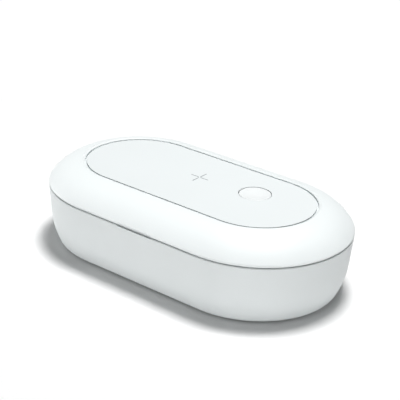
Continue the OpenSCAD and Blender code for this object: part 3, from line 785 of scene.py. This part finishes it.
class SANITIZER_OT_boards(bpy.types.Operator):
    """Finish the circuit boards and what stands on them"""

    bl_idname = "sanitizer.boards"
    bl_label = "Boards"

    def execute(self, context):
        look = context.scene.sanitizer_inside
        paint(
            circuit_board("Circuit board", look),
            "lower_lamp_board", "upper_lamp_board", "main_board", "charger_board", "button_board",
        )
        resin = rubbery("Chip resin", look.resin, 0.4)
        paint(resin, "usb_c_tongue", "lid_sensor", "switch_housing")
        tin = metal("Tinned legs", (0.72, 0.72, 0.7), 0.35)
        can = metal("Capacitor can", (0.7, 0.7, 0.72), 0.28, (1.0, 1.0, 0.1))
        nylon = moulded("Plug nylon", (0.78, 0.76, 0.68), 0.4, context.scene.sanitizer_housing)
        finishes = {
            "resin": ("chip_black", resin),
            "tin": ("bright_steel", tin),
            "can": ("bright_steel", can),
            "ferrite": ("ferrite_dark", rubbery("Choke core", (0.06, 0.06, 0.062), 0.6)),
            "copper": ("coil_copper", metal("Choke winding", look.copper, 0.3)),
            "nylon": ("liner_white", nylon),
        }
        for node, body in (("main_board_parts", "base"), ("charger_parts", "lid")):
            self.dress(node, body, finishes)
        self.switch_tin(tin)
        return {"FINISHED"}

    def dress(self, node, body, finishes):
        """Rebuild each block on a board as the part that it stands for."""
        made = {key: [] for key in finishes}
        for low, high, _ in lumps(node):
            for key, shape in self.builder(high - low)(low, high):
                made[key].append(shape)
        for key, shapes in made.items():
            if shapes:
                slot, finish = finishes[key]
                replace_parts(piece(node + "_" + key, joined(*shapes), body, slot, finish), node)

    def builder(self, size):
        """Which part a block stands for, told from its size."""
        if size.x > 0.0065:
            return self.chip
        if size.z > 0.004:
            return self.capacitor
        if size.z > 0.0028:
            return self.choke
        if size.x > 0.005:
            return self.plug
        return self.chip_capacitor

    @staticmethod
    def chip(low, high):
        """A flat chip on legs, with a dot over its first leg."""
        inset, lift, dot_in, dot_sunk = 0.0009, 0.0001, 0.0018, 0.00002
        rim = Vector((inset, inset, 0))
        yield "resin", block(low + rim + Vector((0, 0, lift)), high - rim, 0.0001)
        yield "tin", legs(low, high, 9)
        dot = Vector((low.x + dot_in, low.y + dot_in, high.z - dot_sunk))
        yield "nylon", turned([(0.00025, 0.0), (0.00022, dot_sunk)], dot, 16)

    @staticmethod
    def capacitor(low, high):
        """A round can with a beaded foot, on an eight-sided plate."""
        r, top = (high.x - low.x) / 2, high.z - low.z
        foot = Vector(((low.x + high.x) / 2, (low.y + high.y) / 2, low.z))
        yield "can", turned([
            (r * 0.93, 0.0004), (r, 0.0006), (r, 0.0011), (r * 0.95, 0.0013), (r, 0.0015),
            (r, top - 0.0002), (r * 0.93, top), (r * 0.5, top - 0.00008),
        ], foot)
        yield "resin", turned([(r, 0.0), (r, 0.0003), (r * 0.8, 0.00045)], foot, 8)

    @staticmethod
    def choke(low, high):
        """A ferrite drum with wire wound on its waist."""
        wire_radius, step, wound_from, wound_h, wound_turn = 0.0001, 0.3, 0.0009, 0.00115, 44
        r = (high.x - low.x) / 2
        foot = Vector(((low.x + high.x) / 2, (low.y + high.y) / 2, low.z))
        waist, wound = r * 0.62, r * 0.74
        yield "ferrite", turned([
            (r, 0.0), (r, 0.0007), (waist, 0.0007), (waist, 0.0022), (r, 0.0022), (r, 0.0029),
            (r * 0.93, 0.003),
        ], foot)
        yield "copper", swept([
            foot + Vector((wound * math.cos(a), wound * math.sin(a), wound_from + wound_h * a / wound_turn))
            for a in (step * k for k in range(147))
        ], wire_radius, 6)

    @staticmethod
    def plug(low, high):
        """An open nylon box with four pins."""
        wall, bevel, pins, pin_radius, pin_sunk = 0.0006, 0.0001, 4, 0.00025, 0.0004
        yield "nylon", block(low, Vector((high.x, low.y + wall, high.z)), bevel)
        yield "nylon", block(Vector((low.x, high.y - wall, low.z)), high, bevel)
        for x in (low.x, high.x - wall):
            yield "nylon", block(Vector((x, low.y, low.z)), Vector((x + wall, high.y, high.z)), bevel)
        yield "nylon", block(low, Vector((high.x, high.y, low.z + wall)), bevel)
        y = (low.y + high.y) / 2
        for i in range(pins):
            x = low.x + (high.x - low.x) * (i + 1) / (pins + 1)
            yield "tin", swept([Vector((x, y, low.z)), Vector((x, y, high.z - pin_sunk))], pin_radius, 4)

    @staticmethod
    def chip_capacitor(low, high):
        """A small block with a tinned cap at each end."""
        cap = Vector(((high.x - low.x) * 0.18, 0, 0))
        yield "resin", block(low + cap, high - cap, 0.00008)
        yield "tin", block(low, Vector((low.x + cap.x, high.y, high.z)), 0.00006)
        yield "tin", block(Vector((high.x - cap.x, low.y, low.z)), high, 0.00006)

    def switch_tin(self, tin):
        """The tact switch's pressed cover and its four soldered legs."""
        clearance, inset, bevel, thick, leg_at, leg_radius = 0.0003, 0.0004, 0.0001, 0.00012, 0.0022, 0.0002
        low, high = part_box("switch_housing")
        plunger_low, plunger_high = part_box("switch_plunger")
        middle = (low + high) / 2
        bore = (plunger_high.x - plunger_low.x) / 2 + clearance
        rim = high.x - middle.x - inset
        top = Vector((middle.x, middle.y, high.z))
        shapes = [turned([
            (bore, 0.0), (bore, thick), (rim - bevel, thick), (rim, thick / 2), (rim, 0.0), (bore, 0.0),
        ], top, 32)]
        for x in (-1, 1):
            edge = (high.x - middle.x) * x
            for y in (-leg_at, leg_at):
                route = ((edge * 0.9, 0.0009), (edge * 1.1, 0.0009), (edge * 1.16, 0.0002),
                         (edge * 1.35, 0.00015))
                points = [Vector((middle.x + px, middle.y + y, low.z + up)) for px, up in route]
                shapes.append(swept(points, leg_radius, 6))
        piece("switch_tin", joined(*shapes), "lid", "bright_steel", tin)


class SANITIZER_OT_coil(bpy.types.Operator):
    """Wind the charging coil turn by turn in place of its plain ring"""

    bl_idname = "sanitizer.coil"
    bl_label = "Charging coil"

    def execute(self, context):
        look = context.scene.sanitizer_inside
        steps_a_turn = 64
        steps = steps_a_turn * look.turns
        low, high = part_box("charging_coil")
        middle = (low + high) / 2
        outer = (high.x - low.x) / 2 - look.wire / 2
        inner = outer - look.turns * look.wire
        shapes = []
        for z in (low.z + look.wire / 2, high.z - look.wire / 2):
            points = []
            for i in range(steps + 1):
                r = inner + (outer - inner) * i / steps
                a = TURN * i / steps_a_turn
                points.append(Vector((middle.x + r * math.cos(a), middle.y + r * math.sin(a), z)))
            shapes.append(swept(points, look.wire * 0.49, 8))
        shapes += self.leads(middle, high, look.wire)
        winding = piece(
            "coil_winding", joined(*shapes), "lid", "coil_copper",
            metal("Enamelled wire", look.copper, 0.32, mark_width=0.001),
        )
        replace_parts(winding, "charging_coil")
        paint(rubbery("Ferrite", (0.05, 0.05, 0.052), 0.55), "ferrite_sheet")
        return {"FINISHED"}

    @staticmethod
    def leads(middle, high, wire):
        """Two wires from the winding's rim down to pads on the charger board."""
        apart, pad_in = 0.0022, 0.0022
        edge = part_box("charger_board")[1]
        reach = high.x - middle.x
        shapes = []
        for y in (middle.y - apart, middle.y + apart):
            route = [
                Vector((middle.x - reach * 0.97, y, high.z - wire * 0.5)),
                Vector((middle.x - reach - 0.003, y, high.z - wire * 0.8)),
                Vector((edge.x + 0.001, y, (edge.z + high.z) / 2)),
                Vector((edge.x - 0.001, y, edge.z + wire * 1.2)),
                Vector((edge.x - pad_in, y, edge.z + wire * 0.45)),
            ]
            shapes.append(swept(smoothed(route), wire * 0.42, 8))
            solder = ((0.0012, 0.0), (0.0011, 0.0002), (0.0006, 0.0005), (0.0003, 0.0006))
            shapes.append(turned(solder, Vector((edge.x - pad_in, y, edge.z)), 20))
        return shapes


class SANITIZER_OT_metalwork(bpy.types.Operator):
    """Finish the screws, the pins, the magnets and the charging socket"""

    bl_idname = "sanitizer.metalwork"
    bl_label = "Metalwork"

    def execute(self, context):
        look = context.scene.sanitizer_inside
        steel = metal("Screw steel", tinted(look.steel, 0.8), 0.32)
        for node, body in (
            ("base_screws", "base"), ("base_board_screws", "base"),
            ("lid_screws", "lid"), ("lid_board_screws", "lid"),
        ):
            made = joined(*(screw(*lump) for lump in lumps(node)))
            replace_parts(piece(node + "_threaded", made, body, "screw_steel", steel), node)
        paint(metal("Bright steel", look.steel, 0.24, (1.0, 0.1, 0.1)), "hinge_pins", "usb_c_socket")
        paint(metal("Nickel plate", tinted(look.steel, 1.05), 0.2), "base_magnets", "lid_magnets")
        self.contacts(look.gold)
        return {"FINISHED"}

    def contacts(self, shade):
        """Twelve gilt contacts on each face of the charging socket's tongue."""
        count, apart, half_width, proud = 12, 0.0005, 0.00014, 0.00002
        rear, front, bevel = 0.0042, 0.0006, 0.00001
        low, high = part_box("usb_c_tongue")
        strips = []
        for z in (low.z, high.z):
            for i in range(count):
                x = (i - (count - 1) / 2) * apart
                strips.append(block(
                    Vector((x - half_width, high.y - rear, z - proud)),
                    Vector((x + half_width, high.y - front, z + proud)), bevel,
                ))
        gilt = metal("Gilt contacts", shade, 0.22)
        piece("socket_contacts", joined(*strips), "base", "bright_steel", gilt)


class SANITIZER_OT_rubber(bpy.types.Operator):
    """Finish the rubber feet and the cables"""

    bl_idname = "sanitizer.rubber"
    bl_label = "Feet and cables"

    def execute(self, context):
        look = context.scene.sanitizer_inside
        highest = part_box("rubber_feet")[1]
        radius = max(high.x - low.x for low, high, _ in lumps("rubber_feet")) / 2
        centre = highest - Vector((radius, radius, 0))
        paint(ribbed("Foot rubber", look.rubber, centre, look.rib), "rubber_feet")
        skin = rubbery("Cable skin", look.rubber, 0.38)
        for node, body in (("base_cable", "base"), ("lid_cable", "lid")):
            made = strands(smoothed(spine(node)), look.strand, look.lay)
            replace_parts(piece(node + "_strands", made, body, "cable_black", skin), node)
        return {"FINISHED"}


class SANITIZER_OT_studio(bpy.types.Operator):
    """Set up the camera, the soft lights and the pale floor"""

    bl_idname = "sanitizer.studio"
    bl_label = "Studio"

    def execute(self, context):
        look = context.scene.sanitizer_studio
        context.scene.view_settings.view_transform = "Standard"
        self.camera(context.scene, look.lens)
        self.lamp("Key lamp", (0.03, 0.145, 1.3), 0.36, look.key)
        self.lamp("Left lamp", (-1.4, -0.3, 0.05), 0.1, look.left)
        self.lamp("Near left lamp", (-0.6, -1.4, 0.03), 0.06, look.near_left)
        self.lamp("Near right lamp", (0.5, -1.4, 0.03), 0.06, look.near_right)
        self.lamp("Right lamp", (1.4, -0.4, 0.04), 0.08, look.right)
        self.dome(look.dome)
        self.floor(look.floor)
        return {"FINISHED"}

    def camera(self, scene, lens):
        """Camera in front, to the right and above, rolled a little."""
        place = (0.43487, -0.56901, 0.36647)
        azimuth, elevation, roll = (math.radians(a) for a in (37.25, 24.31, 2.84))
        camera = bpy.data.objects.new("Camera", bpy.data.cameras.new("Camera"))
        camera.data.lens = lens
        camera.data.sensor_width = 36.0
        camera.data.clip_start = 0.01
        back = Vector((
            math.sin(azimuth) * math.cos(elevation),
            -math.cos(azimuth) * math.cos(elevation),
            math.sin(elevation),
        ))
        turn = (-back).to_track_quat("-Z", "Y").to_matrix() @ Matrix.Rotation(roll, 3, "Z")
        camera.matrix_world = Matrix.Translation(place) @ turn.to_4x4()
        scene.collection.objects.link(camera)
        scene.camera = camera

    def lamp(self, name, place, size, power):
        """A square lamp, turned to the middle of the box."""
        aim = Vector((0, 0, 0.02)) - Vector(place)
        lamp = bpy.data.lights.new(name, "AREA")
        lamp.shape = "SQUARE"
        lamp.size = size
        lamp.energy = power
        made = bpy.data.objects.new(name, lamp)
        made.location = place
        made.rotation_euler = aim.to_track_quat("-Z", "Y").to_euler()
        bpy.context.scene.collection.objects.link(made)

    def dome(self, strength):
        """Even light of the given strength, which the camera and glass see as plain white."""
        world = bpy.data.worlds.new("Dome")
        world.use_nodes = True
        tree = world.node_tree
        tree.nodes.clear()
        rays = tree.nodes.new("ShaderNodeLightPath")
        seen = tree.nodes.new("ShaderNodeMath")
        seen.operation = "MAXIMUM"
        tree.links.new(rays.outputs["Is Camera Ray"], seen.inputs[0])
        tree.links.new(rays.outputs["Is Transmission Ray"], seen.inputs[1])
        level = tree.nodes.new("ShaderNodeMix")
        level.inputs["A"].default_value = strength
        level.inputs["B"].default_value = 1.0
        tree.links.new(seen.outputs[0], level.inputs["Factor"])
        sky = tree.nodes.new("ShaderNodeBackground")
        sky.inputs["Color"].default_value = (1.0, 1.0, 1.0, 1.0)
        tree.links.new(level.outputs["Result"], sky.inputs["Strength"])
        output = tree.nodes.new("ShaderNodeOutputWorld")
        tree.links.new(sky.outputs[0], output.inputs["Surface"])
        bpy.context.scene.world = world

    def floor(self, lightness):
        """Matt floor: white where the camera, gloss or glass sees it, but with the box's shadow.

        Beyond the shadow's reach the seen floor shines by itself, so that it stays plain white.
        """
        fibre_width, shine, shadow_reach, shine_from, reach = 0.002, 1.02, 0.16, 0.34, 4.0
        f = Finish("Floor paint")
        fibre = f.noise(fibre_width)
        body = f.node("ShaderNodeBsdfDiffuse", {}, {"Color": (lightness,) * 3 + (1.0,)})
        near = f.node("ShaderNodeBsdfDiffuse", {}, {"Color": f.blend(fibre, (0.985,) * 3, (1.0,) * 3)})
        far = f.node("ShaderNodeEmission", {}, {"Strength": shine})
        fade = f.node(
            "ShaderNodeMapRange", {"interpolation_type": "SMOOTHSTEP"},
            {"Value": f.away(), "From Min": shadow_reach, "From Max": shine_from},
        )
        seen = f.node("ShaderNodeMixShader", {}, {0: fade, 1: near, 2: far})
        f.close(f.node("ShaderNodeMixShader", {}, {0: self.rays(f), 1: body, 2: seen}))
        corners = [(-reach, -reach, 0), (reach, -reach, 0), (reach, reach, 0), (-reach, reach, 0)]
        mesh = bpy.data.meshes.new("Floor")
        mesh.from_pydata(corners, [], [(0, 1, 2, 3)])
        mesh.materials.append(f.material)
        floor = bpy.data.objects.new("Floor", mesh)
        bpy.context.scene.collection.objects.link(floor)
        floor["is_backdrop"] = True

    @staticmethod
    def rays(f):
        """1 for the rays that show the floor, and 0 for those that light the box."""
        camera = f.node("ShaderNodeLightPath", output="Is Camera Ray")
        glossy = f.node("ShaderNodeLightPath", output="Is Glossy Ray")
        through = f.node("ShaderNodeLightPath", output="Is Transmission Ray")
        return camera.math("MAXIMUM", camera, glossy.math("MAXIMUM", glossy, through))


class SANITIZER_PT_sidebar(bpy.types.Panel):
    """Sidebar panel that lists the steps and their settings"""

    bl_idname = "SANITIZER_PT_sidebar"
    bl_label = "Sanitizer Box"
    bl_space_type = "VIEW_3D"
    bl_region_type = "UI"
    bl_category = "Sanitizer"

    def draw(self, context):
        for step in STEPS:
            self.layout.operator(step.bl_idname)
        for name in LOOKS:
            look = getattr(context.scene, name)
            column = self.layout.column()
            for key in look.__annotations__:
                column.prop(look, key)


LOOKS = {
    "sanitizer_housing": HousingLook,
    "sanitizer_inside": InsideLook,
    "sanitizer_studio": StudioLook,
}
STEPS = (
    SANITIZER_OT_studio,
    SANITIZER_OT_housing,
    SANITIZER_OT_panel,
    SANITIZER_OT_chamber,
    SANITIZER_OT_lamps,
    SANITIZER_OT_boards,
    SANITIZER_OT_coil,
    SANITIZER_OT_metalwork,
    SANITIZER_OT_rubber,
)


def register():
    for made in (*LOOKS.values(), *STEPS, SANITIZER_PT_sidebar):
        bpy.utils.register_class(made)
    for key, look in LOOKS.items():
        setattr(bpy.types.Scene, key, PointerProperty(type=look))


def unregister():
    for key in LOOKS:
        delattr(bpy.types.Scene, key)
    for made in reversed((*LOOKS.values(), *STEPS, SANITIZER_PT_sidebar)):
        bpy.utils.unregister_class(made)


def main():
    register()
    bpy.ops.sanitizer.studio()
    bpy.ops.sanitizer.housing()
    bpy.ops.sanitizer.panel()
    bpy.ops.sanitizer.chamber()
    bpy.ops.sanitizer.lamps()
    bpy.ops.sanitizer.boards()
    bpy.ops.sanitizer.coil()
    bpy.ops.sanitizer.metalwork()
    bpy.ops.sanitizer.rubber()
    bpy.context.view_layer.update()
    boxes = {"cad": CAD_BOX, "visual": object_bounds()}
    {key: [list(corner) for corner in box] for key, box in boxes.items()}


if __name__ == "__main__":
    main()
